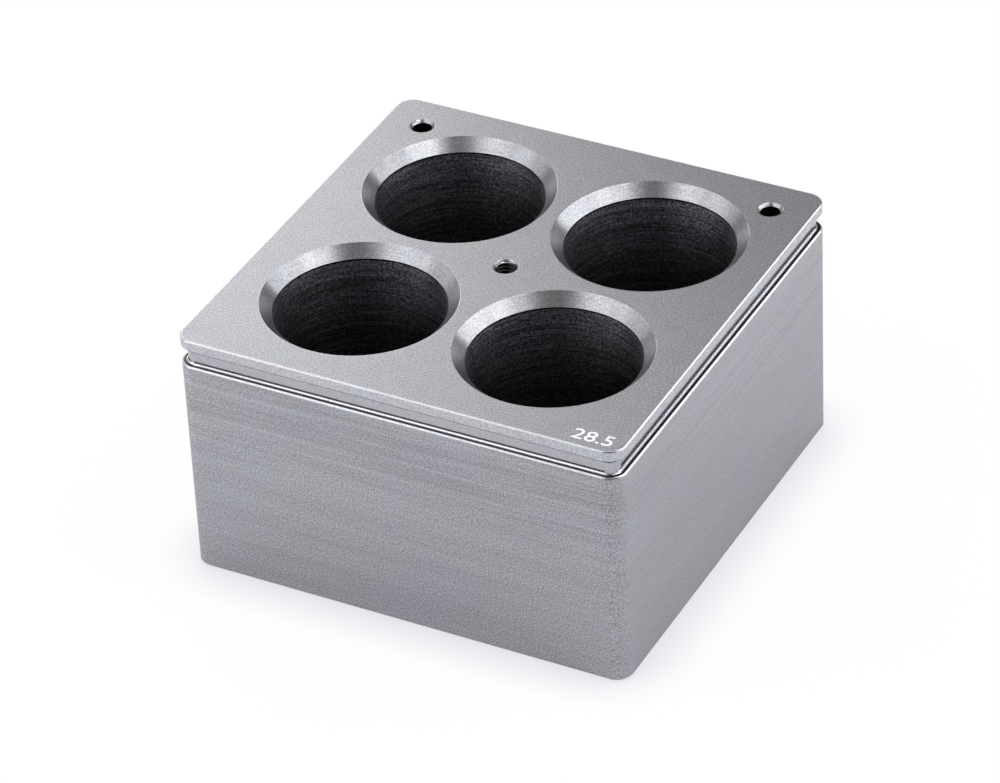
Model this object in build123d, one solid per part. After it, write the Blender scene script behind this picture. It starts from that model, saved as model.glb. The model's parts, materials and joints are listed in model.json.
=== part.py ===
from build123d import *
import os
from math import radians, tan

# Heat block insert: one machined aluminium block that sits in a dry bath and warms vials in its wells.
# Frame: origin at the centre of the underside, +Z up, -Y is the front face. Lengths are in millimetres.

# Wells for the vials
wells_across = 2              # along X
wells_deep = 2                # along Y
well_bore = 28.5              # diameter that a vial slides into
well_depth = 40.0             # mouth to floor
well_mouth_chamfer = 2.0      # 45-degree lead-in, measured across the top face
well_foot_chamfer = 0.8       # 45-degree, from the chamfered nose of the boring tool
well_web = 6.5                # metal between two neighbouring bores
outer_wall = 7.75             # metal between a bore and the outer face
floor_thickness = 5.0         # metal under the wells

# Outside edges
corner_radius = 3.0           # vertical corners
top_edge_chamfer = 0.2
shoulder_edge_chamfer = 0.25
base_edge_chamfer = 0.4

# Grip groove round the block, under the top lip
lip_height = 1.75             # straight side of the lip
groove_depth = 1.05           # in from the outer faces; the lip's underside slopes at 45 degrees
neck_height = 2.2             # straight wall of the groove
groove_foot_radius = 0.3      # round between neck and shoulder

# Small drilled holes in the top face
lift_hole_bore = 3.3          # tapping size of an M4 thread, at the centre
lift_hole_depth = 15.0
sensor_hole_bore = 3.3        # for a 3 mm temperature probe, at the two rear corners
sensor_hole_floor = 10.0      # metal left under a sensor hole
sensor_hole_inset = 7.2       # hole centre from each outer face
small_hole_chamfer = 0.5      # 45-degree countersink
drill_point_angle = 118.0     # degrees

# Sizes that follow from the ones above
well_pitch = well_bore + well_web
block_width = wells_across * well_bore + (wells_across - 1) * well_web + 2 * outer_wall
block_depth = wells_deep * well_bore + (wells_deep - 1) * well_web + 2 * outer_wall
block_height = well_depth + floor_thickness
lip_bottom = block_height - lip_height
neck_top = lip_bottom - groove_depth
shoulder_height = neck_top - neck_height
sensor_hole_depth = block_height - sensor_hole_floor

ON_BASE = (Align.CENTER, Align.CENTER, Align.MIN)
UNDER_TOP = (Align.CENTER, Align.CENTER, Align.MAX)


def outline(inset=0.0):
    """Plan of the block: a rounded rectangle, moved in from the outer faces by inset."""
    width = block_width - 2 * inset
    depth = block_depth - 2 * inset
    return RectangleRounded(width, depth, corner_radius - inset)


def slab(bottom, top, inset=0.0):
    """Layer of the block between two heights."""
    return extrude(Pos(0, 0, bottom) * outline(inset), top - bottom)


def groove_shape():
    """Body, neck and lip as one blank: the lip overhangs the neck with a 45-degree underside."""
    body = slab(0, shoulder_height)
    neck = slab(shoulder_height, neck_top, groove_depth)
    underside = extrude(Pos(0, 0, neck_top) * outline(groove_depth), groove_depth, taper=-45)
    lip = slab(lip_bottom, block_height)
    return body + neck + underside + lip


def level_face(shape, height):
    """Horizontal face of the shape at a height."""
    return shape.faces().filter_by(Axis.Z).filter_by_position(Axis.Z, height, height)[0]


def break_edges(shape):
    """Round the foot of the neck and chamfer the shoulder, the top edge and the base edge."""
    shoulder = level_face(shape, shoulder_height)
    shape = shape.fillet(groove_foot_radius, shoulder.inner_wires()[0].edges())
    shoulder = level_face(shape, shoulder_height)
    shape = shape.chamfer(shoulder_edge_chamfer, None, shoulder.outer_wire().edges())
    shape = shape.chamfer(top_edge_chamfer, None, level_face(shape, block_height).edges())
    return shape.chamfer(base_edge_chamfer, None, level_face(shape, 0).edges())


def well():
    """Space of one well: flat floor with a chamfered foot, straight wall, 45-degree mouth."""
    radius = well_bore / 2
    bore = Cylinder(radius, well_depth, align=ON_BASE)
    bore = bore.chamfer(well_foot_chamfer, None, bore.edges().sort_by(Axis.Z)[:1])
    mouth = Cone(radius, radius + well_mouth_chamfer, well_mouth_chamfer, align=UNDER_TOP)
    return Pos(0, 0, floor_thickness) * bore + Pos(0, 0, block_height) * mouth


def drilled_hole(bore, depth):
    """Space of a drilled hole below the top face: straight wall, drill point, countersunk mouth."""
    radius = bore / 2
    point_depth = radius / tan(radians(drill_point_angle / 2))
    wall = Cylinder(radius, depth, align=UNDER_TOP)
    point = Pos(0, 0, -depth) * Cone(0, radius, point_depth, align=UNDER_TOP)
    mouth = Cone(radius, radius + small_hole_chamfer, small_hole_chamfer, align=UNDER_TOP)
    return Pos(0, 0, block_height) * (wall + point + mouth)


def sensor_places():
    """Centres of the two sensor holes, one in each rear corner."""
    across = block_width / 2 - sensor_hole_inset
    back = block_depth / 2 - sensor_hole_inset
    return [Pos(-across, back, 0), Pos(across, back, 0)]


def heat_block():
    """The finished block: one piece of metal with its groove, wells and drilled holes."""
    block = break_edges(groove_shape())
    for place in GridLocations(well_pitch, well_pitch, wells_across, wells_deep):
        block -= place * well()
    block -= drilled_hole(lift_hole_bore, lift_hole_depth)
    for place in sensor_places():
        block -= place * drilled_hole(sensor_hole_bore, sensor_hole_depth)
    return block


os.makedirs("parts", exist_ok=True)
block = heat_block()
export_step(block, "parts/heat_block.step")
print(f"heat_block {block_width:g} x {block_depth:g} x {block_height:g} mm, {block.volume / 1000:.1f} cm3")
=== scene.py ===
# %% [markdown]
# # A heat block insert, from bare frame to studio picture
#
# The real object is one piece of aluminium. Four wide wells hold vials, a groove under the top lip
# gives a tool something to grip, and three small holes are drilled in the top. The whole block is
# bead-blasted, then hard-anodised and dyed a dense, slightly sparkling grey.
#
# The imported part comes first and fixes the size, so this script only adds what the eye needs:
# softened edges, a cut thread, tool marks, grain and light.

# %% Load the frame
import json
import math
import bpy
from mathutils import Matrix, Vector, geometry


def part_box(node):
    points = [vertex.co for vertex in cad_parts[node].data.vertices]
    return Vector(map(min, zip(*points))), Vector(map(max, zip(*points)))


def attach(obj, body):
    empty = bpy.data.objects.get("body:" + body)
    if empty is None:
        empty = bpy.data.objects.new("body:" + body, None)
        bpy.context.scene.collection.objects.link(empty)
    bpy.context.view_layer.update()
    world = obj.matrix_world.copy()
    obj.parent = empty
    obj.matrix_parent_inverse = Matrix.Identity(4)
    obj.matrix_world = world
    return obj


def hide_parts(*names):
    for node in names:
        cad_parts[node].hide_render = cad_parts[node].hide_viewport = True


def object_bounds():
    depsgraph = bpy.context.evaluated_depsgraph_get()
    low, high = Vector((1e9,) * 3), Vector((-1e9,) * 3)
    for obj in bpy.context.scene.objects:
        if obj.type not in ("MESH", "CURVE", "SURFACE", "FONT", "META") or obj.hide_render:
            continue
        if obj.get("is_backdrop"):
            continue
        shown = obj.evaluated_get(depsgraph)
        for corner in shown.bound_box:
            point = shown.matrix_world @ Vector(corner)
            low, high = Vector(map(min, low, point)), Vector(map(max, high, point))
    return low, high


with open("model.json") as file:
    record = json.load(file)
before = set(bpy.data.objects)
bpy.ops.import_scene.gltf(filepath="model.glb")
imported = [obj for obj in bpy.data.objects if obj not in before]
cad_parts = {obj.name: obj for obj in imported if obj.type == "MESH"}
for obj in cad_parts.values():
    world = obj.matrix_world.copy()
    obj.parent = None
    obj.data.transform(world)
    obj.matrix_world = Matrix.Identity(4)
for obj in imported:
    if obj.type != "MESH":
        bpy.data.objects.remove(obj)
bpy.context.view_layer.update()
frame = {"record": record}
MM = 0.001

# %% [markdown]
# ## Sizes from the frame
#
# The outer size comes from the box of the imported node, and the wells and holes come from its mounts,
# so the picture follows the part if the part is packed again. Typing the numbers a second time would
# be quicker, but then two lists could disagree. Lengths stay in millimetres while the mesh is worked
# out, because a chamfer of 0.4 reads more easily than one of 0.0004. They turn into metres where a
# vertex is made.

# %% Read the block and its holes
NODE = "heat_block"
low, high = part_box(NODE)
HALF_WIDTH = (high.x - low.x) / 2 / MM
HALF_DEPTH = (high.y - low.y) / 2 / MM
TOP = high.z / MM


def holes_named(start):
    """Centre, radius and foot of the wall of each mount whose name starts with these letters."""
    found = []
    for mount in frame["record"]["mounts"]:
        if mount["name"].startswith(start):
            x, y, middle = (value / MM for value in mount["pos_m"])
            foot = middle - mount["dims"]["length_mm"] / 2
            found.append({"x": x, "y": y, "radius": mount["dims"]["r_mm"], "wall_foot": foot})
    return found


WELLS = holes_named("well")
SENSOR_HOLES = holes_named("sensor")
LIFT_HOLES = holes_named("lift")
print(len(WELLS), "wells of radius", WELLS[0]["radius"], "mm;", len(SENSOR_HOLES), "sensor holes")

# %% [markdown]
# ## Rounded corners on a drawn line
#
# No machined edge is perfectly sharp, and blasting softens it further. The thin highlight that runs
# along each edge is what makes metal look solid. One way to get it is a Bevel modifier, but on a
# mesh with many holes it can make pinched faces. Here the corners are rounded in the drawing of a
# section, and the surface is made from it, so each edge gets exactly the radius it should have.

# %% Round the corners of a section
CORNER_STEPS = 3     # short lines that each rounded corner is made of


def rounded_section(points):
    """A section line with its corners rounded. Each point is (inset, height, corner radius)."""
    line = [Vector(points[0][:2])]
    for before, corner, after in zip(points, points[1:], points[2:]):
        here = Vector(corner[:2])
        to_before = (Vector(before[:2]) - here).normalized()
        to_after = (Vector(after[:2]) - here).normalized()
        half_angle = to_before.angle(to_after) / 2
        radius = corner[2]
        if radius == 0:
            line.append(here)
            continue
        centre = here + (to_before + to_after).normalized() * radius / math.sin(half_angle)
        first = here + to_before * radius / math.tan(half_angle)
        last = here + to_after * radius / math.tan(half_angle)
        sweep = (first - centre).angle_signed(last - centre)
        for step in range(CORNER_STEPS + 1):
            turn = Matrix.Rotation(-sweep * step / CORNER_STEPS, 2)
            line.append(centre + turn @ (first - centre))
    line.append(Vector(points[-1][:2]))
    return line


EDGE_ROUND = 0.06    # what blasting leaves on a sharp edge
square_corner = rounded_section([(0, 0, 0), (1, 0, EDGE_ROUND), (1, 1, 0)])
print("a line with one square corner now has", len(square_corner), "points")

# %% [markdown]
# ## The section of the outside
#
# The outside is one section carried round a rounded rectangle. Reading it upwards: a broken base
# edge, the straight side, a tiny chamfer on the shoulder, the flat floor of the groove, a rounded
# foot where the cutter's corner was, the neck, the 45-degree underside of the lip, the side of the
# lip, and the chamfer of the top edge. A slanted underside is kinder to a form cutter than a square
# one, and it leaves the lip strong. The frame doesn't hold these small sizes, so they are written
# here as the part has them. Insets run in from the outer face.

# %% Draw the section of the outside
TOP_CHAMFER = 0.2
SHOULDER_CHAMFER = 0.25
BASE_CHAMFER = 0.4
LIP_HEIGHT = 1.75
GROOVE_DEPTH = 1.05
NECK_HEIGHT = 2.2
GROOVE_FOOT = 0.3
LIP_BOTTOM = TOP - LIP_HEIGHT
NECK_TOP = LIP_BOTTOM - GROOVE_DEPTH
SHOULDER = NECK_TOP - NECK_HEIGHT

outside_section = rounded_section([
    (BASE_CHAMFER, 0.0, 0),
    (0.0, BASE_CHAMFER, EDGE_ROUND),
    (0.0, SHOULDER - SHOULDER_CHAMFER, EDGE_ROUND),
    (SHOULDER_CHAMFER, SHOULDER, EDGE_ROUND),
    (GROOVE_DEPTH, SHOULDER, GROOVE_FOOT),
    (GROOVE_DEPTH, NECK_TOP, EDGE_ROUND),
    (0.0, LIP_BOTTOM, EDGE_ROUND / 2),
    (0.0, TOP - TOP_CHAMFER, EDGE_ROUND),
    (TOP_CHAMFER, TOP, EDGE_ROUND),
    (TOP_CHAMFER + 2 * EDGE_ROUND, TOP, 0),
])

print("section of", len(outside_section), "points; the lip starts", round(LIP_BOTTOM, 2), "mm up")

# %% [markdown]
# ## The outline of the block
#
# Seen from above the block is a square with rounded corners, the path of a cutter that runs round it.
# Moving the path in makes the corner radius smaller by the same amount, so the groove, the neck and
# the chamfers stay concentric at the corners, as on the real block. Scaling one outline for every
# level would be easier, but it would bend the groove at its corners.

# %% Walk round the outline
CORNER_RADIUS = 3.0
CORNER_ARC_STEPS = 16


def outline(inset):
    """Points of the rounded rectangle, moved in from the outer faces by inset."""
    points = []
    radius = CORNER_RADIUS - inset
    for quarter, (side_x, side_y) in enumerate([(1, 1), (-1, 1), (-1, -1), (1, -1)]):
        centre_x = side_x * (HALF_WIDTH - CORNER_RADIUS)
        centre_y = side_y * (HALF_DEPTH - CORNER_RADIUS)
        for step in range(CORNER_ARC_STEPS + 1):
            angle = (quarter + step / CORNER_ARC_STEPS) * math.pi / 2
            points.append((centre_x + radius * math.cos(angle), centre_y + radius * math.sin(angle)))
    return points


print("outline of", len(outline(0)), "points")

# %% [markdown]
# ## Collecting the mesh
#
# The block is one piece of metal, so it is one mesh. It is gathered in a BMesh, Blender's editable
# mesh, ring by ring. Each face is told which finish it has, because a milled side, a turned cone and
# a bored wall catch light differently although the metal is the same. A UV map called "turning" is
# laid along the way the tool travelled. It carries no picture and only tells the turned finishes
# which way their fine scratches run.

# %% Start the mesh and join rings of points
import bmesh

FINISHES = [
    "blasted_top", "milled_side", "lip_side", "cut_edge", "groove_wall", "groove_foot",
    "groove_floor", "turned_mouth", "bored_wall", "faced_floor", "drilled_wall", "etched_number",
]
block_mesh = bmesh.new()
turning = block_mesh.loops.layers.uv.new("turning")


def add_ring(points, height):
    """New vertices round a closed line at one height."""
    return [block_mesh.verts.new((x * MM, y * MM, height * MM)) for x, y in points]


def add_face(corners, finish, places=None):
    """One smooth face, with its finish and the places of its corners in the turning map."""
    face = block_mesh.faces.new(corners)
    face.smooth = True
    face.material_index = FINISHES.index(finish)
    for loop, place in zip(face.loops, places or [corner.co.xy / MM for corner in corners]):
        loop[turning].uv = place


def join_rings(lower, upper, finish, run):
    """Band of faces between two rings; run is (start, end) of the band along the section."""
    count = len(lower)
    for first in range(count):
        second = (first + 1) % count
        corners = (lower[first], lower[second], upper[second], upper[first])
        places = [(first, run[0]), (first + 1, run[0]), (first + 1, run[1]), (first, run[1])]
        add_face(corners, finish, places)


print(len(FINISHES), "finishes:", ", ".join(FINISHES))

# %% [markdown]
# ## Raising the outside
#
# Every band between two points of the section gets the finish that the real surface has at that
# height, and the groove alone has three. The bottom is closed with one flat face.

# %% Raise the outside from the base to the top face
LEVEL = 0.001    # mm of rise below which a band counts as level


def outside_finish(start, end):
    """Finish of the outside between two points of its section."""
    height = (start.y + end.y) / 2
    if height < SHOULDER - SHOULDER_CHAMFER:
        return "milled_side"
    if height > TOP - TOP_CHAMFER - EDGE_ROUND:
        return "cut_edge"
    if height > LIP_BOTTOM - EDGE_ROUND:
        return "lip_side"
    if height > NECK_TOP + EDGE_ROUND:
        return "groove_foot"
    if height > SHOULDER + GROOVE_FOOT:
        return "groove_wall"
    if abs(end.y - start.y) < LEVEL:
        return "groove_floor"
    return "cut_edge" if start.x < SHOULDER_CHAMFER + EDGE_ROUND else "groove_foot"


outside_rings = [add_ring(outline(inset), height) for inset, height in outside_section]
for index, (start, end) in enumerate(zip(outside_section, outside_section[1:])):
    finish = outside_finish(start, end)
    join_rings(outside_rings[index], outside_rings[index + 1], finish, (0, (end - start).length))
add_face(list(reversed(outside_rings[0])), "milled_side")
print("outside:", len(block_mesh.faces), "faces")

# %% [markdown]
# ## Holes, spun round their axes
#
# A well is cut by a spinning tool, so it is a section spun round an axis. In Blender that could be
# a Screw modifier. Working out the rings in code is as short, and it leaves the rim vertices at hand,
# which the top face needs later.

# %% Spin a section round an axis
def circle(hole, radius, steps):
    """Points round a hole's axis."""
    angles = [2 * math.pi * step / steps for step in range(steps)]
    return [(hole["x"] + radius * math.cos(a), hole["y"] + radius * math.sin(a)) for a in angles]


def add_tip(ring, hole, height, finish, run=(0, 0)):
    """Triangles from a ring to one point on the hole's axis; run is as in join_rings."""
    tip = block_mesh.verts.new((hole["x"] * MM, hole["y"] * MM, height * MM))
    for first, corner in enumerate(ring):
        places = [(first, run[0]), (first + 1, run[0]), (first + 0.5, run[1])]
        add_face((corner, ring[(first + 1) % len(ring)], tip), finish, places)


def spin(hole, section, steps, finish_at):
    """Surface of a hole, from its mouth to a point on its axis. Returns the rim at the top face."""
    hole["rim"] = section[0].x
    rings = [add_ring(circle(hole, radius, steps), height) for radius, height in section[:-1]]
    for index, (start, end) in enumerate(zip(section, section[1:-1])):
        finish = finish_at((start.y + end.y) / 2)
        join_rings(rings[index], rings[index + 1], finish, (0, (end - start).length))
    run = (section[-2] - section[-3]).length, (section[-1] - section[-3]).length
    add_tip(rings[-1], hole, section[-1].y, finish_at(section[-1].y), run)
    return rings[0]


def mouth(radius, chamfer):
    """The part of a hole's section from the top face down to its wall."""
    return [
        (radius + chamfer + 2 * EDGE_ROUND, TOP, 0),
        (radius + chamfer, TOP, EDGE_ROUND),
        (radius, TOP - chamfer, EDGE_ROUND),
    ]


print("the first hole to spin has its axis at", (WELLS[0]["x"], WELLS[0]["y"]), "mm")

# %% [markdown]
# ## The four wells
#
# A vial slides into each well. Its mouth is a 45-degree cone that guides the glass in, the wall runs
# straight down, and the boring tool's chamfered nose leaves a small slope round the flat floor. The
# cones are the brightest shapes on the block, so they get real geometry and many steps round.

# %% Bore the four wells
WELL_CHAMFER = 2.0
WELL_FOOT = 0.8
WELL_STEPS = 144
TIP_SHARE = 0.05    # share of the radius where a hole's last triangles start
WELL_FLOOR = WELLS[0]["wall_foot"] - WELL_FOOT


def well_section(hole):
    """Section of a well: mouth, wall, chamfered foot, flat floor."""
    foot = [
        (hole["radius"], hole["wall_foot"], EDGE_ROUND),
        (hole["radius"] - WELL_FOOT, WELL_FLOOR, EDGE_ROUND),
        (TIP_SHARE * hole["radius"], WELL_FLOOR, 0),
        (0.0, WELL_FLOOR, 0),
    ]
    return rounded_section(mouth(hole["radius"], WELL_CHAMFER) + foot)


def well_finish(height):
    """The mouth is turned, the wall is bored and the floor is faced."""
    if height > TOP - WELL_CHAMFER:
        return "turned_mouth"
    return "bored_wall" if height > WELL_FLOOR + EDGE_ROUND else "faced_floor"


well_rims = [spin(well, well_section(well), WELL_STEPS, well_finish) for well in WELLS]
print("wells reach", round(TOP - WELLS[0]["wall_foot"] + WELL_FOOT, 2), "mm deep")

# %% [markdown]
# ## The two sensor holes
#
# A temperature probe goes deep into the block through a plain drilled hole in each rear corner. A
# twist drill ends in a 118-degree point, and a countersink breaks the sharp rim. Only the countersink
# shows, but the wall and the point are made too, because a view from above looks straight in.

# %% Drill the two sensor holes
HOLE_CHAMFER = 0.5
HOLE_STEPS = 48
DRILL_POINT_ANGLE = math.radians(118)


def point_depth(hole):
    """How far the drill's point reaches below the end of the wall."""
    return hole["radius"] / math.tan(DRILL_POINT_ANGLE / 2)


def drilled_section(hole):
    """Section of a plain drilled hole with its countersink and drill point."""
    point = point_depth(hole)
    bottom = [
        (hole["radius"], hole["wall_foot"], 0),
        (TIP_SHARE * hole["radius"], hole["wall_foot"] - (1 - TIP_SHARE) * point, 0),
        (0.0, hole["wall_foot"] - point, 0),
    ]
    return rounded_section(mouth(hole["radius"], HOLE_CHAMFER) + bottom)


def hole_finish(height):
    """The countersink is turned bright, the rest of a small hole is drilled."""
    return "turned_mouth" if height > TOP - HOLE_CHAMFER else "drilled_wall"


sensor_rims = [spin(hole, drilled_section(hole), HOLE_STEPS, hole_finish) for hole in SENSOR_HOLES]
print("sensor holes stop", SENSOR_HOLES[0]["wall_foot"], "mm above the base")

# %% [markdown]
# ## A real thread in the lift hole
#
# The lifting tool screws into the hole at the centre. The frame holds a plain hole of the tapping
# size, and the thread is cut here. A thread could be a bump on the wall, but seen at a slant a bump
# stays flat at its edge. Moving the wall outwards along a helix gives real crests and roots, and it
# costs only a few thousand faces. The metric form has 60-degree flanks and flat crests and roots.

# %% Cut the thread
THREAD_PITCH = 0.7
THREAD_DEPTH = 0.35
THREAD_CREST = 1 / 4      # share of the pitch that is flat on the crest
THREAD_ROOT = 1 / 8       # share of the pitch that is flat in the root
THREAD_LENGTH = 12.0
LEVELS_PER_TURN = 12


def thread_depth(angle, height):
    """How far the thread is cut into the wall at this place."""
    along = (height / THREAD_PITCH - angle / (2 * math.pi)) % 1.0
    from_root = abs(along - 0.5)
    crest_edge, root_edge = (1 - THREAD_CREST) / 2, THREAD_ROOT / 2
    flank = (crest_edge - from_root) / (crest_edge - root_edge)
    runout = (height - (TOP - THREAD_LENGTH)) / THREAD_PITCH
    return THREAD_DEPTH * max(0.0, min(1.0, flank)) * max(0.0, min(1.0, runout))


def threaded_circle(hole, height):
    """Points of the threaded wall at one height, no narrower than the countersink there."""
    countersink = hole["radius"] + HOLE_CHAMFER - (TOP - height)
    points = []
    for step in range(HOLE_STEPS):
        angle = 2 * math.pi * step / HOLE_STEPS
        radius = max(hole["radius"] + thread_depth(angle, height), countersink)
        points.append((hole["x"] + radius * math.cos(angle), hole["y"] + radius * math.sin(angle)))
    return points


def cut_thread(hole):
    """The threaded hole from its countersunk rim to its drill point. Returns the rim."""
    rim_section = rounded_section(mouth(hole["radius"], HOLE_CHAMFER))[:CORNER_STEPS + 2]
    hole["rim"] = rim_section[0].x
    rings = [add_ring(circle(hole, radius, HOLE_STEPS), height) for radius, height in rim_section]
    levels = math.ceil((THREAD_LENGTH + THREAD_PITCH) / THREAD_PITCH * LEVELS_PER_TURN)
    for level in range(1, levels + 1):
        height = rim_section[-1].y - level * THREAD_PITCH / LEVELS_PER_TURN
        rings.append(add_ring(threaded_circle(hole, height), height))
    rings.append(add_ring(circle(hole, hole["radius"], HOLE_STEPS), hole["wall_foot"]))
    for upper, lower in zip(rings, rings[1:]):
        depth = TOP * MM - lower[0].co.z
        finish = "turned_mouth" if depth <= HOLE_CHAMFER * MM else "drilled_wall"
        join_rings(upper, lower, finish, (0, (upper[0].co - lower[0].co).length / MM))
    add_tip(rings[-1], hole, hole["wall_foot"] - point_depth(hole), "drilled_wall")
    return rings[0]


lift_rims = [cut_thread(hole) for hole in LIFT_HOLES]
print("thread of", round(THREAD_LENGTH / THREAD_PITCH, 1), "turns")

# %% [markdown]
# ## The size mark
#
# The bore size is marked on the top face with a laser, which bleaches the dye without cutting the
# metal. Thin letters laid on top would float above the face and flicker. A painted mask would blur
# close up. So the outline of each digit is cut into the top face itself, and the faces inside it get
# their own finish. The digits come from Blender's built-in font, through a text object that is thrown
# away once its outline is read.

# %% Read the outlines of the digits
MARK_TEXT = f"{2 * WELLS[0]['radius']:.1f}"    # the bore of a well
MARK_HEIGHT = 2.6
MARK_WIDTH = 6.85
MARK_RIGHT = 37.3        # right-hand end of the number
MARK_BASELINE = -37.9
MARK_CURVE_STEPS = 5     # short lines between two points of a digit's curve
MARK_BOLDER = 0.004      # widening of the strokes, before the number is scaled


def digits_mesh(text):
    """The digits as flat faces, set at the size and place of the mark, in millimetres."""
    words = bpy.data.curves.new("size_mark", "FONT")
    words.body = text
    words.resolution_u = MARK_CURVE_STEPS
    words.offset = MARK_BOLDER
    holder = bpy.data.objects.new("size_mark", words)
    bpy.context.collection.objects.link(holder)
    finished = holder.evaluated_get(bpy.context.evaluated_depsgraph_get())
    flat = bpy.data.meshes.new_from_object(finished)
    bpy.data.objects.remove(holder)
    lowest = Vector([min(v.co[axis] for v in flat.vertices) for axis in range(3)])
    highest = Vector([max(v.co[axis] for v in flat.vertices) for axis in range(3)])
    size = Vector((MARK_WIDTH / (highest.x - lowest.x), MARK_HEIGHT / (highest.y - lowest.y), 0))
    for vertex in flat.vertices:
        vertex.co = (vertex.co - Vector((highest.x, lowest.y, 0))) * size
        vertex.co += Vector((MARK_RIGHT, MARK_BASELINE, 0))
    return flat


def outline_edges(flat):
    """Ends of each edge that has a face on one side only."""
    uses = {}
    for polygon in flat.polygons:
        for key in polygon.edge_keys:
            uses[key] = uses.get(key, 0) + 1
    outer = [key for key, count in uses.items() if count == 1]
    return [[flat.vertices[end].co.xy.copy() for end in key] for key in outer]


mark_edges = outline_edges(digits_mesh(MARK_TEXT))
print("the mark reads", MARK_TEXT, "and its outline has", len(mark_edges), "edges")

# %% [markdown]
# ## The top face
#
# The top face is flat, with seven round holes and the outlines of the digits in it. Filling such a
# face by hand is fiddly, and a Boolean leaves edges that are hard to control. A constrained Delaunay
# triangulation takes all those outlines as edges that must stay and fills the rest. Triangles that
# fall in a hole are left out, and those inside a digit get the etched finish.

# %% Fill the top face
INSIDE_ONLY = 1       # fill inside the outer line and nowhere else
SAME_POINT = 1e-5     # mm between points that count as one


def draw_rings(rings, coordinates, edges, owners):
    """Adds closed rings of existing vertices to the drawing of the top face."""
    for ring in rings:
        start = len(coordinates)
        coordinates += [vertex.co.xy / MM for vertex in ring]
        edges += [(start + i, start + (i + 1) % len(ring)) for i in range(len(ring))]
        owners += ring


def inside_mark(point):
    """True inside a digit: a line to the right then crosses its outline an odd number of times."""
    crossings = 0
    for start, end in mark_edges:
        if (start.y > point.y) != (end.y > point.y):
            share = (point.y - start.y) / (end.y - start.y)
            crossings += start.x + share * (end.x - start.x) > point.x
    return crossings % 2 == 1


def inside_hole(point):
    """True inside the rim of a well or a small hole."""
    for hole in WELLS + SENSOR_HOLES + LIFT_HOLES:
        if (point - Vector((hole["x"], hole["y"]))).length < hole["rim"]:
            return True
    return False


def fill_top():
    """Triangles of the top face, between the outline, the rims and the digits."""
    coordinates, edges, owners = [], [], []
    draw_rings([outside_rings[-1]] + well_rims + sensor_rims + lift_rims, coordinates, edges, owners)
    for start, end in mark_edges:
        edges.append((len(coordinates), len(coordinates) + 1))
        coordinates += [start, end]
        owners += [None, None]
    drawn = geometry.delaunay_2d_cdt(coordinates, edges, [], INSIDE_ONLY, SAME_POINT, True)
    places, _, triangles, sources = drawn[:4]
    corners = []
    for place, source in zip(places, sources):
        known = [owners[i] for i in source if owners[i]]
        corners.append(known[0] if known else add_ring([place], TOP)[0])
    kept = 0
    for triangle in triangles:
        centre = sum((places[i] for i in triangle), Vector((0, 0))) / 3
        if not inside_hole(centre):
            finish = "etched_number" if inside_mark(centre) else "blasted_top"
            add_face([corners[i] for i in triangle], finish)
            kept += 1
    return kept


print("top face:", fill_top(), "triangles")

# %% [markdown]
# ## One finished piece
#
# Doubled vertices are merged, and the faces are turned to point outwards. The mesh is shaded smooth,
# which would bend the light on the flat faces near their rounded edges, so a Weighted Normal
# modifier lets the large faces decide. Then the piece is hung on the body that it rides on, and the
# node of the part that it replaces is hidden.

# %% Finish the mesh and give it its name
SAME_PLACE = 1e-7     # metres between vertices that are merged


def smooth_flat_faces(piece):
    """Keeps flat faces flat up to their rounded edges, by letting large faces decide the normals."""
    weighted = piece.modifiers.new("flat_faces", "WEIGHTED_NORMAL")
    weighted.mode = "FACE_AREA"
    weighted.weight = 100    # the most that large faces can count
    weighted.keep_sharp = True


bmesh.ops.remove_doubles(block_mesh, verts=block_mesh.verts, dist=SAME_PLACE)
bmesh.ops.recalc_face_normals(block_mesh, faces=block_mesh.faces)
open_edges = sum(not edge.is_manifold for edge in block_mesh.edges)
block_data = bpy.data.meshes.new("machined_block")
block_mesh.to_mesh(block_data)
block_mesh.free()
block = bpy.data.objects.new("machined_block", block_data)
bpy.context.collection.objects.link(block)
smooth_flat_faces(block)
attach(block, "root")
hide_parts(NODE)
print("the block has", len(block_data.polygons), "faces and", open_edges, "open edges")

# %% [markdown]
# ## Metal, made of nodes
#
# Every finish starts from the same anodised aluminium, a Principled shader that is fully metallic.
# A small helper makes a node and sets its values in one line. Nodes could be drawn in the Shader
# Editor just as well, but in code they can be made again from nothing.

# %% Make a node, and an empty metal
def add_node(tree, kind, **settings):
    """A new node. Settings are its own properties, or values for its inputs by name."""
    node = tree.nodes.new(kind)
    for name, value in settings.items():
        if hasattr(node, name):
            setattr(node, name, value)
        else:
            node.inputs[name.replace("_", " ")].default_value = value
    return node


def empty_material(name):
    """A material without nodes, and the tree that they will stand in."""
    material = bpy.data.materials.new(name)
    material.use_nodes = True
    material.node_tree.nodes.clear()
    return material, material.node_tree


def show(tree, shaded):
    """Makes this the surface of the material."""
    output = add_node(tree, "ShaderNodeOutputMaterial")
    tree.links.new(shaded, output.inputs["Surface"])


def new_metal(name, roughness, anisotropy=0.0):
    """A metal without a colour yet. Returns the material, its tree and its shader."""
    material, tree = empty_material(name)
    shader = add_node(tree, "ShaderNodeBsdfPrincipled", Metallic=1.0, Roughness=roughness)
    shader.inputs["Anisotropic"].default_value = anisotropy
    show(tree, shader.outputs["BSDF"])
    return material, tree, shader


print("helpers made:", [made.__name__ for made in (add_node, empty_material, show, new_metal)])

# %% [markdown]
# ## Patterns measured in millimetres
#
# Blasting leaves pits about a fifth of a millimetre across, and a mill leaves lines less than a
# millimetre apart. Patterns are read in object coordinates and scaled to millimetres, so their size
# is the real one and nothing needs unwrapping. Stretching one axis of a noise turns its blobs into
# streaks: a small factor draws them out, a large one packs them close. A noise seldom leaves the
# middle of its range, so a Map Range node spreads that middle over the values a finish needs.

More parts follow.
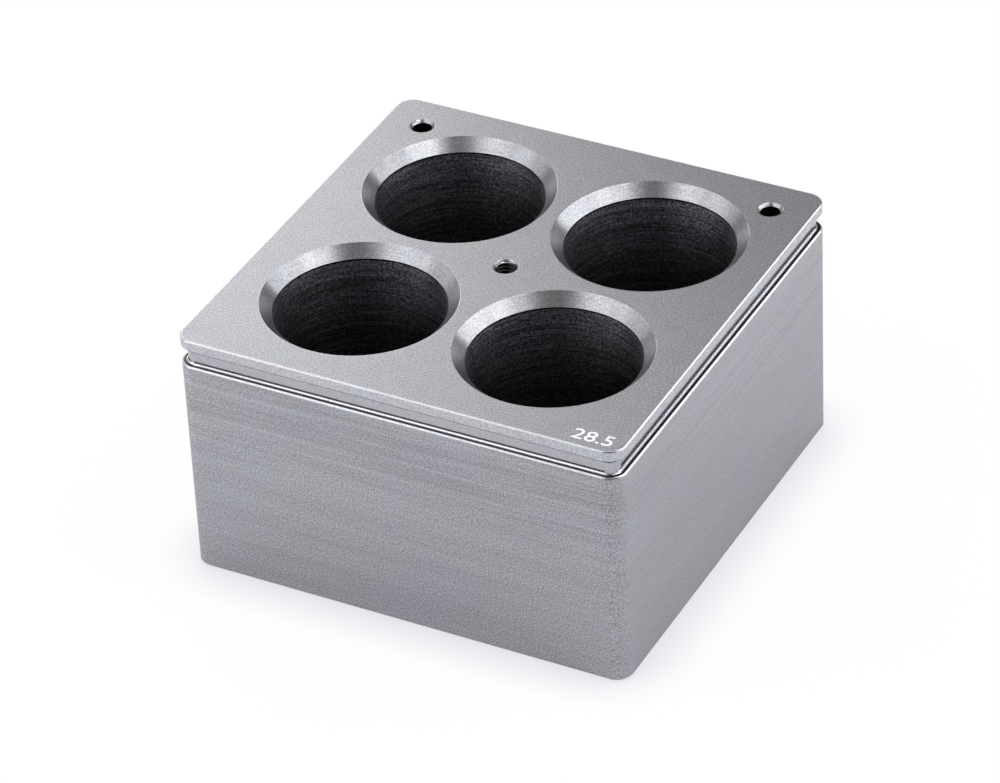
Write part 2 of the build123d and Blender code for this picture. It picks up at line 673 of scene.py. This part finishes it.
# %% Noise in millimetres
def millimetres(tree, stretch=(1.0, 1.0, 1.0)):
    """Object coordinates in millimetres, each axis multiplied by its stretch."""
    coordinates = add_node(tree, "ShaderNodeTexCoord")
    scaled = add_node(tree, "ShaderNodeVectorMath", operation="MULTIPLY")
    scaled.inputs[1].default_value = [factor / MM for factor in stretch]
    tree.links.new(coordinates.outputs["Object"], scaled.inputs[0])
    return scaled.outputs["Vector"]


def noise(tree, vector, per_mm, detail=3.0, roughness=0.6):
    """Noise from 0 to 1 with this many features to the millimetre."""
    texture = add_node(tree, "ShaderNodeTexNoise", Scale=per_mm, Detail=detail, Roughness=roughness)
    tree.links.new(vector, texture.inputs["Vector"])
    return texture.outputs["Fac"]


def spread(tree, value, low_in, high_in, low_out, high_out):
    """A value stretched from one range to another and held inside it."""
    mapped = add_node(tree, "ShaderNodeMapRange")
    tree.links.new(value, mapped.inputs["Value"])
    sockets = ("From Min", "From Max", "To Min", "To Max")
    for socket, number in zip(sockets, (low_in, high_in, low_out, high_out)):
        mapped.inputs[socket].default_value = number
    return mapped.outputs["Result"]


GRAIN_PER_MM = 3.4
GRAIN_REACH = 0.62       # how far the grain at full strength goes above and below 1
MOST = (0.3, 0.7)        # where most values of a noise lie


def grain(tree, per_mm=GRAIN_PER_MM, strength=1.0):
    """Brightness of the blasted grain, around 1, and the noise behind it."""
    pits = noise(tree, millimetres(tree), per_mm, detail=3.0, roughness=0.7)
    reach = GRAIN_REACH * strength
    return spread(tree, pits, *MOST, 1.0 - reach, 1.0 + reach), pits


print("a grain of", GRAIN_PER_MM, "pits to the millimetre")

# %% [markdown]
# ## The colour of the anodised layer
#
# The anodic layer is dyed through, so the metal is a mid grey with a hint of blue. The bath never
# dyes a part quite evenly. Two greys a hair apart, one warmer and one cooler, are mixed by a noise
# so broad that it only drifts over the block. One flat colour would look like plastic, and a
# stronger drift would look like stains. A metal's colour tints what it mirrors, so a finish that
# should be darker or paler multiplies this grey.

# %% Dye and relief
GREY = (0.335, 0.338, 0.358)
WARMER = (1.003, 1.0, 0.985)
COOLER = (0.995, 1.0, 1.02)
DYE_DRIFT_PER_MM = 0.09


def tint(tree, shader, colour, brightness):
    """Gives the shader one colour, drifting a little, multiplied by a varying brightness."""
    shade = add_node(tree, "ShaderNodeMixRGB")
    for socket, drift in (("Color1", WARMER), ("Color2", COOLER)):
        drifted = [value * factor for value, factor in zip(colour, drift)]
        shade.inputs[socket].default_value = (*drifted, 1.0)
    patches = noise(tree, millimetres(tree), DYE_DRIFT_PER_MM, detail=2.0)
    tree.links.new(spread(tree, patches, 0.4, 0.6, 0.0, 1.0), shade.inputs["Fac"])
    scaled = add_node(tree, "ShaderNodeVectorMath", operation="SCALE")
    tree.links.new(shade.outputs["Color"], scaled.inputs[0])
    tree.links.new(brightness, scaled.inputs["Scale"])
    tree.links.new(scaled.outputs["Vector"], shader.inputs["Base Color"])


def add_bump(tree, shader, height, depth_mm, strength=1.0):
    """Bump of this depth on the shader."""
    bump = add_node(tree, "ShaderNodeBump", Strength=strength, Distance=depth_mm * MM)
    tree.links.new(height, bump.inputs["Height"])
    tree.links.new(bump.outputs["Normal"], shader.inputs["Normal"])


def give_to_block(material):
    """Puts a finish in the block's next slot, which has to be the one that its faces point to."""
    slot = len(block_data.materials)
    if FINISHES[slot] != material.name:
        raise ValueError(f"slot {slot} is for {FINISHES[slot]}, not {material.name}")
    block_data.materials.append(material)
    covered = sum(polygon.material_index == slot for polygon in block_data.polygons)
    print(material.name, "covers", covered, "faces with", len(material.node_tree.nodes), "nodes")


print("grey of the anodised layer:", GREY)

# %% [markdown]
# ## The blasted top
#
# Glass beads at high pressure leave the top even and matt. Two noises are multiplied for it: a fine
# one for the pits and a broad, weak one for patches that were hit a little longer. The pits also
# change the roughness, which gives the faint sparkle, and a bump six thousandths of a millimetre
# deep breaks up the reflections. Pits modelled as geometry would need millions of faces.

# %% Blasted top
PATCHES_PER_MM = 0.35
PIT_DEPTH = 0.006
NEARLY_ALL = (0.2, 0.8)     # where nearly all values of a noise lie


def combine(tree, operation, first, second):
    """Arithmetic on two values; either may be a number."""
    node = add_node(tree, "ShaderNodeMath", operation=operation)
    for socket, value in zip(node.inputs, (first, second)):
        if isinstance(value, (int, float)):
            socket.default_value = value
        else:
            tree.links.new(value, socket)
    return node.outputs["Value"]


def blasted_top():
    """Even, fine-grained anodised metal."""
    material, tree, shader = new_metal("blasted_top", 0.42)
    speckle, pits = grain(tree, strength=0.74)
    patches = noise(tree, millimetres(tree), PATCHES_PER_MM, detail=2.0)
    patches = spread(tree, patches, *MOST, 0.97, 1.03)
    tint(tree, shader, GREY, combine(tree, "MULTIPLY", speckle, patches))
    tree.links.new(spread(tree, pits, *NEARLY_ALL, 0.38, 0.48), shader.inputs["Roughness"])
    add_bump(tree, shader, pits, PIT_DEPTH, strength=0.5)
    return material


give_to_block(blasted_top())

# %% [markdown]
# ## The milled sides
#
# A side mill went round the block before blasting, and its level lines still show through the
# grain, more clearly near the top. The lines are a noise squeezed in height and drawn out along
# the face, with a second, broader one for bands where the cutter was set down again. The two faces
# across X were cut more smoothly, so there the whole pattern is weaker. Which face is which is
# read from the object's own normal.

# %% Milled sides
LINES = (0.035, 0.035, 1.7)     # stretch of the fine mill lines
BANDS = (0.012, 0.012, 0.22)    # stretch of the broad bands
LINES_SET_IN = (20.0, 32.0)     # heights between which the fine lines grow stronger
LINES_REACH = (0.04, 0.13)      # how far they go from 1, below and above those heights
KEPT_ACROSS_X = 0.65            # share of the pattern left on the smoother faces
TURNED_TO_X = (0.5, 0.9)        # size of the normal along X between which the share sets in


def height_mm(tree):
    """Height above the base, in millimetres."""
    parts = add_node(tree, "ShaderNodeSeparateXYZ")
    tree.links.new(millimetres(tree), parts.inputs["Vector"])
    return parts.outputs["Z"]


def smoother_across(tree, pattern):
    """Weakens a pattern around 1 on the two faces across X, where the mill left a smoother cut."""
    parts = add_node(tree, "ShaderNodeSeparateXYZ")
    tree.links.new(add_node(tree, "ShaderNodeTexCoord").outputs["Normal"], parts.inputs["Vector"])
    across = combine(tree, "ABSOLUTE", parts.outputs["X"], 0.0)
    kept = spread(tree, across, *TURNED_TO_X, 1.0, KEPT_ACROSS_X)
    from_one = combine(tree, "SUBTRACT", pattern, 1.0)
    return combine(tree, "ADD", combine(tree, "MULTIPLY", from_one, kept), 1.0)


def milled_side():
    """Blasted over the fine level lines of a side mill."""
    material, tree, shader = new_metal("milled_side", 0.45)
    speckle, pits = grain(tree, per_mm=3.9, strength=0.95)
    lines = noise(tree, millimetres(tree, LINES), 1.0, detail=2.0, roughness=0.6)
    bands = noise(tree, millimetres(tree, BANDS), 1.0, detail=1.0)
    reach = spread(tree, height_mm(tree), *LINES_SET_IN, *LINES_REACH)
    streaks = combine(tree, "MULTIPLY", spread(tree, lines, *MOST, -1.0, 1.0), reach)
    streaks = combine(tree, "ADD", streaks, spread(tree, bands, *MOST, 0.95, 1.05))
    tint(tree, shader, GREY, smoother_across(tree, combine(tree, "MULTIPLY", speckle, streaks)))
    tree.links.new(spread(tree, pits, *NEARLY_ALL, 0.42, 0.5), shader.inputs["Roughness"])
    add_bump(tree, shader, pits, PIT_DEPTH, strength=0.5)
    return material


give_to_block(milled_side())

# %% [markdown]
# ## The side of the lip
#
# The lip was milled with a finer cut than the sides below it, and it is paler and a little
# glossier. From here on several finishes are one recipe with other amounts: a roughness, a
# brightness and a strength of grain. One function holds the recipe.

# %% Side of the lip
def scaled_grey(share):
    """The anodised grey, darker or paler by this share, which paints shade or a highlight on most
    finishes.
    """
    return [value * share for value in GREY]


def plain_cut(name, roughness, brightness, grain_strength):
    """A finish with one level of gloss, its grey made paler or darker, mostly as painted shade or
    highlight.
    """
    material, tree, shader = new_metal(name, roughness)
    speckle, pits = grain(tree, strength=grain_strength)
    tint(tree, shader, scaled_grey(brightness), speckle)
    return material, tree, shader, pits


def lip_side():
    """Finer cut than the sides below, and paler, but blasted all the same."""
    material, tree, shader, pits = plain_cut(
        "lip_side", roughness=0.36, brightness=1.36, grain_strength=0.55)
    add_bump(tree, shader, pits, depth_mm=0.01, strength=0.4)
    return material


give_to_block(lip_side())

# %% [markdown]
# ## Chamfered edges
#
# The chamfers on the top, the shoulder and the base are cut last, with a sharp tool. They are
# narrow, smooth and bright, and their grey, painted paler as a painted highlight, draws the outline
# of the block as a fine pale line.

# %% Chamfered edges
# the chamfers' paler grey is a painted highlight
give_to_block(plain_cut("cut_edge", roughness=0.3, brightness=1.35, grain_strength=0.4)[0])

# %% [markdown]
# ## Inside the groove
#
# The groove is cut by one form tool, and each of its three surfaces comes out differently. The neck
# is shaved by the tool's side and is smooth, and its grey is darker than the lip's as painted shade.
# The underside of the lip and the rounded foot are burnished by its corners and are nearly mirrors,
# so they catch a thin bright line of light, which their paler grey brightens as a painted highlight.
# The flat floor is painted nearly black as painted shade. A single finish for the whole groove would
# lose the fine light and dark lines that make it read as a groove.

# %% Neck, foot and floor of the groove
# the neck: darker than the lip, as painted shade under it
give_to_block(plain_cut("groove_wall", roughness=0.16, brightness=1.15, grain_strength=0.3)[0])
# the foot and the underside of the lip: a paler grey as a painted highlight
give_to_block(plain_cut("groove_foot", roughness=0.16, brightness=1.75, grain_strength=0.4)[0])
# the floor: nearly black as painted shade
give_to_block(plain_cut("groove_floor", roughness=0.3, brightness=0.1, grain_strength=0.6)[0])

# %% [markdown]
# ## The turned mouths
#
# A turning tool leaves rings far finer than the eye can see, and light that falls on them is
# stretched across the rings. The Principled shader does this with its Anisotropic value, if it is
# told which way the rings run. The turning map knows: its first number grows round the hole. The
# tangent follows that number, and a rotation of a quarter turns the stretch across the rings.
# Rings made as geometry would be too fine for any mesh.

# %% Turned mouths
ACROSS_THE_RINGS = 0.25             # a quarter of a full turn
MOUTH_RINGS = (0.12, 0.12, 9.0)     # stretch of the rings' pattern


def along_the_turning(tree, shader):
    """Stretches the shader's highlight across the tool's rings, which run along the turning map."""
    tangent = add_node(tree, "ShaderNodeTangent", direction_type="UV_MAP", uv_map="turning")
    tree.links.new(tangent.outputs["Tangent"], shader.inputs["Tangent"])
    shader.inputs["Anisotropic Rotation"].default_value = ACROSS_THE_RINGS


def turned_mouth():
    """Cones: rings left by the tool, which stretch the highlight across them."""
    material, tree, shader = new_metal("turned_mouth", 0.28, anisotropy=0.6)
    speckle, _ = grain(tree, strength=0.6)
    rings = noise(tree, millimetres(tree, MOUTH_RINGS), 1.0, detail=3.0, roughness=0.7)
    rings = spread(tree, rings, *MOST, 0.9, 1.1)
    tint(tree, shader, GREY, combine(tree, "MULTIPLY", speckle, rings))
    along_the_turning(tree, shader)
    return material


give_to_block(turned_mouth())

# %% [markdown]
# ## The bored walls
#
# The inside of a well is the darkest large surface on the block. Little light gets in, and the grey
# there is also darkened as painted shade. What does get in grazes the boring tool's rings, and their
# ridges glitter in a broken band below the rim that fades with depth. Three patterns are multiplied:
# pits that glitter, rings packed along the height, and a painted light that falls from the mouth
# down. A fine painted shade line stays where the cone meets the wall. Black paint would be simpler,
# but the wells would then look like holes cut out of the picture.

# %% Bored walls
MOUTH_FOOT = TOP - WELL_CHAMFER    # where the cone ends and the wall begins
WALL_RINGS = (0.06, 0.06, 4.0)     # stretch of the boring tool's rings
GLITTER = (0.32, 2.35)             # brightness of the dullest and the brightest pits
RIDGES = (0.42, 1.6)               # brightness of the dullest and the brightest rings
PAINTED_LIGHT_DEPTHS = (15.0, 1.0)            # depths below the cone between which the painted light fades in
PAINTED_LIGHT_LEVELS = (0.55, 2.6)                  # brightness of the painted light at those depths
PAINTED_SHADE_LINE_DEPTHS = (0.35, 0.25)           # depths below the cone where the painted shade line at the rim starts
PAINTED_SHADE_LINE_LEVELS = (1.0, 0.05)             # brightness of the painted shade line at those depths
WELL_WALL_SHADE = (0.5, 0.5, 0.52)        # painted shade: the grey in the wells, next to that outside


def by_depth(tree, depths, levels):
    """A level that changes between two depths below the cone of a well."""
    heights = [MOUTH_FOOT - depth for depth in depths]
    return spread(tree, height_mm(tree), *heights, *levels)


def bored_wall():
    """Inside of the wells: painted shade and light, with the boring tool's rings, whose ridges glitter.
    """
    material, tree, shader = new_metal("bored_wall", 0.33, anisotropy=0.7)
    pits = noise(tree, millimetres(tree), 3.2, detail=3.0, roughness=0.7)
    rings = noise(tree, millimetres(tree, WALL_RINGS), 1.0, detail=3.0, roughness=0.8)
    pattern = spread(tree, pits, 0.4, 0.7, *GLITTER)
    # painted light fades in below the mouth, and a painted shade line lies where the cone meets the
    # wall
    for layer in (
        spread(tree, rings, 0.36, 0.64, *RIDGES),
        by_depth(tree, PAINTED_LIGHT_DEPTHS, PAINTED_LIGHT_LEVELS),
        by_depth(tree, PAINTED_SHADE_LINE_DEPTHS, PAINTED_SHADE_LINE_LEVELS),
    ):
        pattern = combine(tree, "MULTIPLY", pattern, layer)
    # the wells' grey is darkened as painted shade
    tint(tree, shader, [value * share for value, share in zip(GREY, WELL_WALL_SHADE)], pattern)
    along_the_turning(tree, shader)
    return material


give_to_block(bored_wall())

# %% [markdown]
# ## The floors of the wells
#
# The same tool faces the floor of each well and leaves rings round the middle. A noise in object
# coordinates would make clouds there, since the floor is level. The second number of the turning
# map grows from the wall to the middle, so a noise that reads only that number makes true rings.

# %% Faced floors
FLOOR_RINGS_PER_MM = 2.4
WELL_FLOOR_SHADE = 0.3          # painted shade: brightness next to the outside


def faced_floor():
    """Floor of the wells, darkened as painted shade: fine rings round the middle, from the boring
    tool's nose.
    """
    material, tree, shader = new_metal("faced_floor", 0.4, anisotropy=0.6)
    turned = add_node(tree, "ShaderNodeVectorMath", operation="MULTIPLY")
    turned.inputs[1].default_value = (0.0, FLOOR_RINGS_PER_MM, 0.0)
    turning_map = add_node(tree, "ShaderNodeUVMap", uv_map="turning")
    tree.links.new(turning_map.outputs["UV"], turned.inputs[0])
    rings = noise(tree, turned.outputs["Vector"], 1.0, detail=3.0, roughness=0.7)
    speckle, _ = grain(tree, strength=0.5)
    pattern = combine(tree, "MULTIPLY", speckle, spread(tree, rings, *MOST, 0.6, 1.4))
    # the floor's grey is darkened as painted shade
    tint(tree, shader, scaled_grey(WELL_FLOOR_SHADE), pattern)
    along_the_turning(tree, shader)
    return material


give_to_block(faced_floor())

# %% [markdown]
# ## The small holes and the size mark
#
# The small holes are nearly black inside, a grey darkened as painted shade, and the thread shows only
# as a few glints. The size mark is the one place that isn't metal to the eye: the laser leaves a dull,
# white, porous layer, so its finish isn't metallic and is much rougher.

# %% Drilled walls and etched number
BLEACHED = (0.86, 0.86, 0.88)


def etched_number():
    """Where the laser bleached the dye: nearly white and dull."""
    material, tree, shader = new_metal("etched_number", 0.6)
    shader.inputs["Metallic"].default_value = 0.0
    pits = noise(tree, millimetres(tree), 4.0, detail=3.0)
    tint(tree, shader, BLEACHED, spread(tree, pits, 0.25, 0.75, 0.94, 1.06))
    return material


# the small holes' grey is darkened nearly to black as painted shade
give_to_block(plain_cut("drilled_wall", roughness=0.4, brightness=0.12, grain_strength=1.0)[0])
give_to_block(etched_number())

# %% [markdown]
# ## A white paper floor
#
# The block stands on a sheet of white paper, lit so brightly that it has no visible end. More light
# on the paper would also burn out the metal. So the paper glows by itself, and no brighter than
# white, but only for rays that the camera or a mirror-like surface sends out. The glow makes up
# most of what the camera sees, and the rest is the light that really falls on the paper and keeps
# the block's wide, soft shadow. Close to the block a glow would hide the shadow, so an Ambient
# Occlusion node, which tells how open the paper is to the sky, lets the glow go grey there. Metal
# gets only a little of the glow, or its sides would look lit from below.

# %% Lay the floor
PAPER_SIZE = 6.0         # metres, so that its edge is never seen
PAPER_DROP = 0.1         # mm below the block, so that the faces don't fight
PAPER_WHITE = (0.9, 0.9, 0.925, 1.0)
PURE_WHITE = (1.0, 1.0, 1.0, 1.0)
GLOW_SEEN = 0.92         # share of glow in what the camera sees
GLOW_MIRRORED = 0.12     # share of glow in what metal and glass mirror
SHADOW_REACH = 9.0       # mm round the block where the contact shadow lies
SHADOW_COLOUR = (0.8, 0.805, 0.86, 1.0)
HALF_OPEN = 0.5          # share of the sky that the paper sees at the foot of the block


def glow_share(tree):
    """Share of glow in the paper for the kind of ray that meets it."""
    path = add_node(tree, "ShaderNodeLightPath").outputs
    mirrored = combine(tree, "MAXIMUM", path["Is Glossy Ray"], path["Is Transmission Ray"])
    mirrored = combine(tree, "MULTIPLY", mirrored, GLOW_MIRRORED)
    seen = combine(tree, "MULTIPLY", path["Is Camera Ray"], GLOW_SEEN)
    return combine(tree, "MAXIMUM", seen, mirrored)


def white_paper():
    """Diffuse paper that is partly glow to the camera and to reflections."""
    material, tree = empty_material("white_paper")
    paper = add_node(tree, "ShaderNodeBsdfDiffuse", Color=PAPER_WHITE)
    glow = add_node(tree, "ShaderNodeEmission", Strength=1.0)
    sky = add_node(tree, "ShaderNodeAmbientOcclusion", Distance=SHADOW_REACH * MM)
    openness = spread(tree, sky.outputs["AO"], HALF_OPEN, 1.0, 0.0, 1.0)
    shade = add_node(tree, "ShaderNodeMixRGB", Color1=SHADOW_COLOUR, Color2=PURE_WHITE)
    tree.links.new(openness, shade.inputs["Fac"])
    tree.links.new(shade.outputs["Color"], glow.inputs["Color"])
    mix = add_node(tree, "ShaderNodeMixShader")
    tree.links.new(glow_share(tree), mix.inputs["Fac"])
    tree.links.new(paper.outputs["BSDF"], mix.inputs[1])
    tree.links.new(glow.outputs["Emission"], mix.inputs[2])
    show(tree, mix.outputs["Shader"])
    return material


bpy.ops.mesh.primitive_plane_add(size=PAPER_SIZE, location=(0, 0, -PAPER_DROP * MM))
floor = bpy.context.object
floor.name = "studio_floor"
floor.data.materials.append(white_paper())
floor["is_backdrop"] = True
print("floor of", PAPER_SIZE, "m, glow share", GLOW_SEEN)

# %% [markdown]
# ## The room
#
# A studio for small shiny things has white walls and a darker roof. Metal shows whatever surrounds
# it, so the dark roof matters as much as the white walls: it draws the dark notch in each chamfer
# and keeps the blacks in the groove. The world is a ramp over height. It is white up to seven
# degrees above the horizon, where it joins the paper, and falls within a few degrees to a dim grey
# that stays the same overhead. A picture of a real room round the scene would add reflections of
# windows and furniture.

# %% Paint the room
ROOM = [(0.0, 1.0), (0.12, 1.0), (0.2, 0.2), (1.0, 0.2)]    # (sine of elevation, brightness)


def paint_room():
    """World background that depends on height alone."""
    world = bpy.data.worlds.new("studio")
    world.use_nodes = True
    tree = world.node_tree
    background = tree.nodes["Background"]
    direction = add_node(tree, "ShaderNodeTexCoord").outputs["Generated"]
    parts = add_node(tree, "ShaderNodeSeparateXYZ")
    tree.links.new(direction, parts.inputs["Vector"])
    ramp = add_node(tree, "ShaderNodeValToRGB")
    stops = ramp.color_ramp.elements
    while len(stops) < len(ROOM):
        stops.new(0.5)
    for stop, (sine, brightness) in zip(stops, ROOM):
        stop.position = sine
        stop.color = (brightness, brightness, brightness, 1.0)
    tree.links.new(parts.outputs["Z"], ramp.inputs["Fac"])
    tree.links.new(ramp.outputs["Color"], background.inputs["Color"])
    bpy.context.scene.world = world


paint_room()
print("room brightness at the horizon", ROOM[0][1], "and overhead", ROOM[-1][1])

# %% [markdown]
# ## The softboxes
#
# The light comes from square softboxes that hang round the block at arm's length. Each does one
# job. The group on the left, from low to high, lights the front face and glitters on the right
# wall of each well. The one at table height on the right lights the other side without reaching
# into the wells. A row of four narrow ones climbs from the right towards the camera, and the left
# cones mirror it as one bright band. The group behind is mirrored by the top face and makes its
# brightness fall away from the left corner. The three high ones fill the shadows. One huge softbox
# would light everything, but the cones would lose their dark gaps.

# %% Hang the softboxes
WIDE, NARROW = 0.22, 0.15
SOFTBOX_DISTANCE = 0.5
AIM = Vector((0.0, 0.0, 30.0)) * MM
SOFTBOXES = [    # (degrees from +X, degrees above the table, width, watts)
    (20, 0, WIDE, 1.45), (180, 8, WIDE, 0.10), (220, 8, WIDE, 0.58), (220, 18, WIDE, 0.25),
    (135, 26, WIDE, 0.47), (185, 26, WIDE, 0.12), (220, 30, WIDE, 0.18), (252, 26, WIDE, 0.26),
    (53, 21, NARROW, 0.21), (37, 30, NARROW, 0.23), (21, 38, NARROW, 0.19), (4, 44, NARROW, 0.21),
    (130, 46, WIDE, 0.13), (190, 46, WIDE, 0.24), (235, 46, WIDE, 0.235),
    (0, 68, WIDE, 0.66), (120, 68, WIDE, 0.24), (240, 68, WIDE, 0.30),
]


def hang_softbox(azimuth, elevation, width, watts):
    """A square area light aimed at the block and hidden from the camera."""
    data = bpy.data.lights.new("softbox", "AREA")
    data.shape = "SQUARE"
    data.size = width
    data.energy = watts
    lamp = bpy.data.objects.new(f"softbox_{azimuth}_{elevation}", data)
    bpy.context.collection.objects.link(lamp)
    turn, rise = math.radians(azimuth), math.radians(elevation)
    away = Vector((math.cos(turn) * math.cos(rise), math.sin(turn) * math.cos(rise), math.sin(rise)))
    lamp.location = AIM + away * SOFTBOX_DISTANCE
    lamp.rotation_mode = "QUATERNION"
    lamp.rotation_quaternion = away.to_track_quat("Z", "Y")
    lamp.visible_camera = False


for softbox in SOFTBOXES:
    hang_softbox(*softbox)
in_all = round(sum(softbox[-1] for softbox in SOFTBOXES), 2)
print(len(SOFTBOXES), "softboxes,", in_all, "watts in all")

# %% [markdown]
# ## The camera
#
# The camera looks down on the front edge between the two visible sides. A long lens from nearly a
# metre away keeps the verticals almost parallel, as small products are usually shown. It is placed
# by two angles and a distance round a target near the middle of the block, and rolled a little.
# Angles are easier to change by small amounts than a position and a rotation would be.

# %% Place the camera
CAMERA_AZIMUTH = math.radians(28.759)      # from the front, towards +X
CAMERA_ELEVATION = math.radians(35.339)
CAMERA_ROLL = math.radians(2.898)
CAMERA_TARGET = Vector((1.538, -6.837, 25.0)) * MM
CAMERA_DISTANCE = 821.07 * MM
LENS = 181.08


def place_camera():
    """The camera, aimed at its target and rolled."""
    data = bpy.data.cameras.new("camera")
    data.lens = LENS
    data.clip_start, data.clip_end = 0.01, 50.0
    camera = bpy.data.objects.new("camera", data)
    bpy.context.collection.objects.link(camera)
    level = math.cos(CAMERA_ELEVATION)
    across, along = math.sin(CAMERA_AZIMUTH) * level, -math.cos(CAMERA_AZIMUTH) * level
    back = Vector((across, along, math.sin(CAMERA_ELEVATION)))
    camera.location = CAMERA_TARGET + back * CAMERA_DISTANCE
    camera.rotation_mode = "QUATERNION"
    roll = Matrix.Rotation(-CAMERA_ROLL, 3, "Z").to_quaternion()
    camera.rotation_quaternion = back.to_track_quat("Z", "Y") @ roll
    return camera


scene = bpy.context.scene
scene.camera = place_camera()
scene.view_settings.view_transform = "Standard"
print("camera at", [round(value / MM) for value in scene.camera.location], "mm")

# %% [markdown]
# ## Measure the dressed size
#
# The dressed block has to stay inside the box of the imported part, so its size is printed.

# %% Measure and finish
low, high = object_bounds()
print("dressed size in mm:", [round(side / MM, 2) for side in high - low])
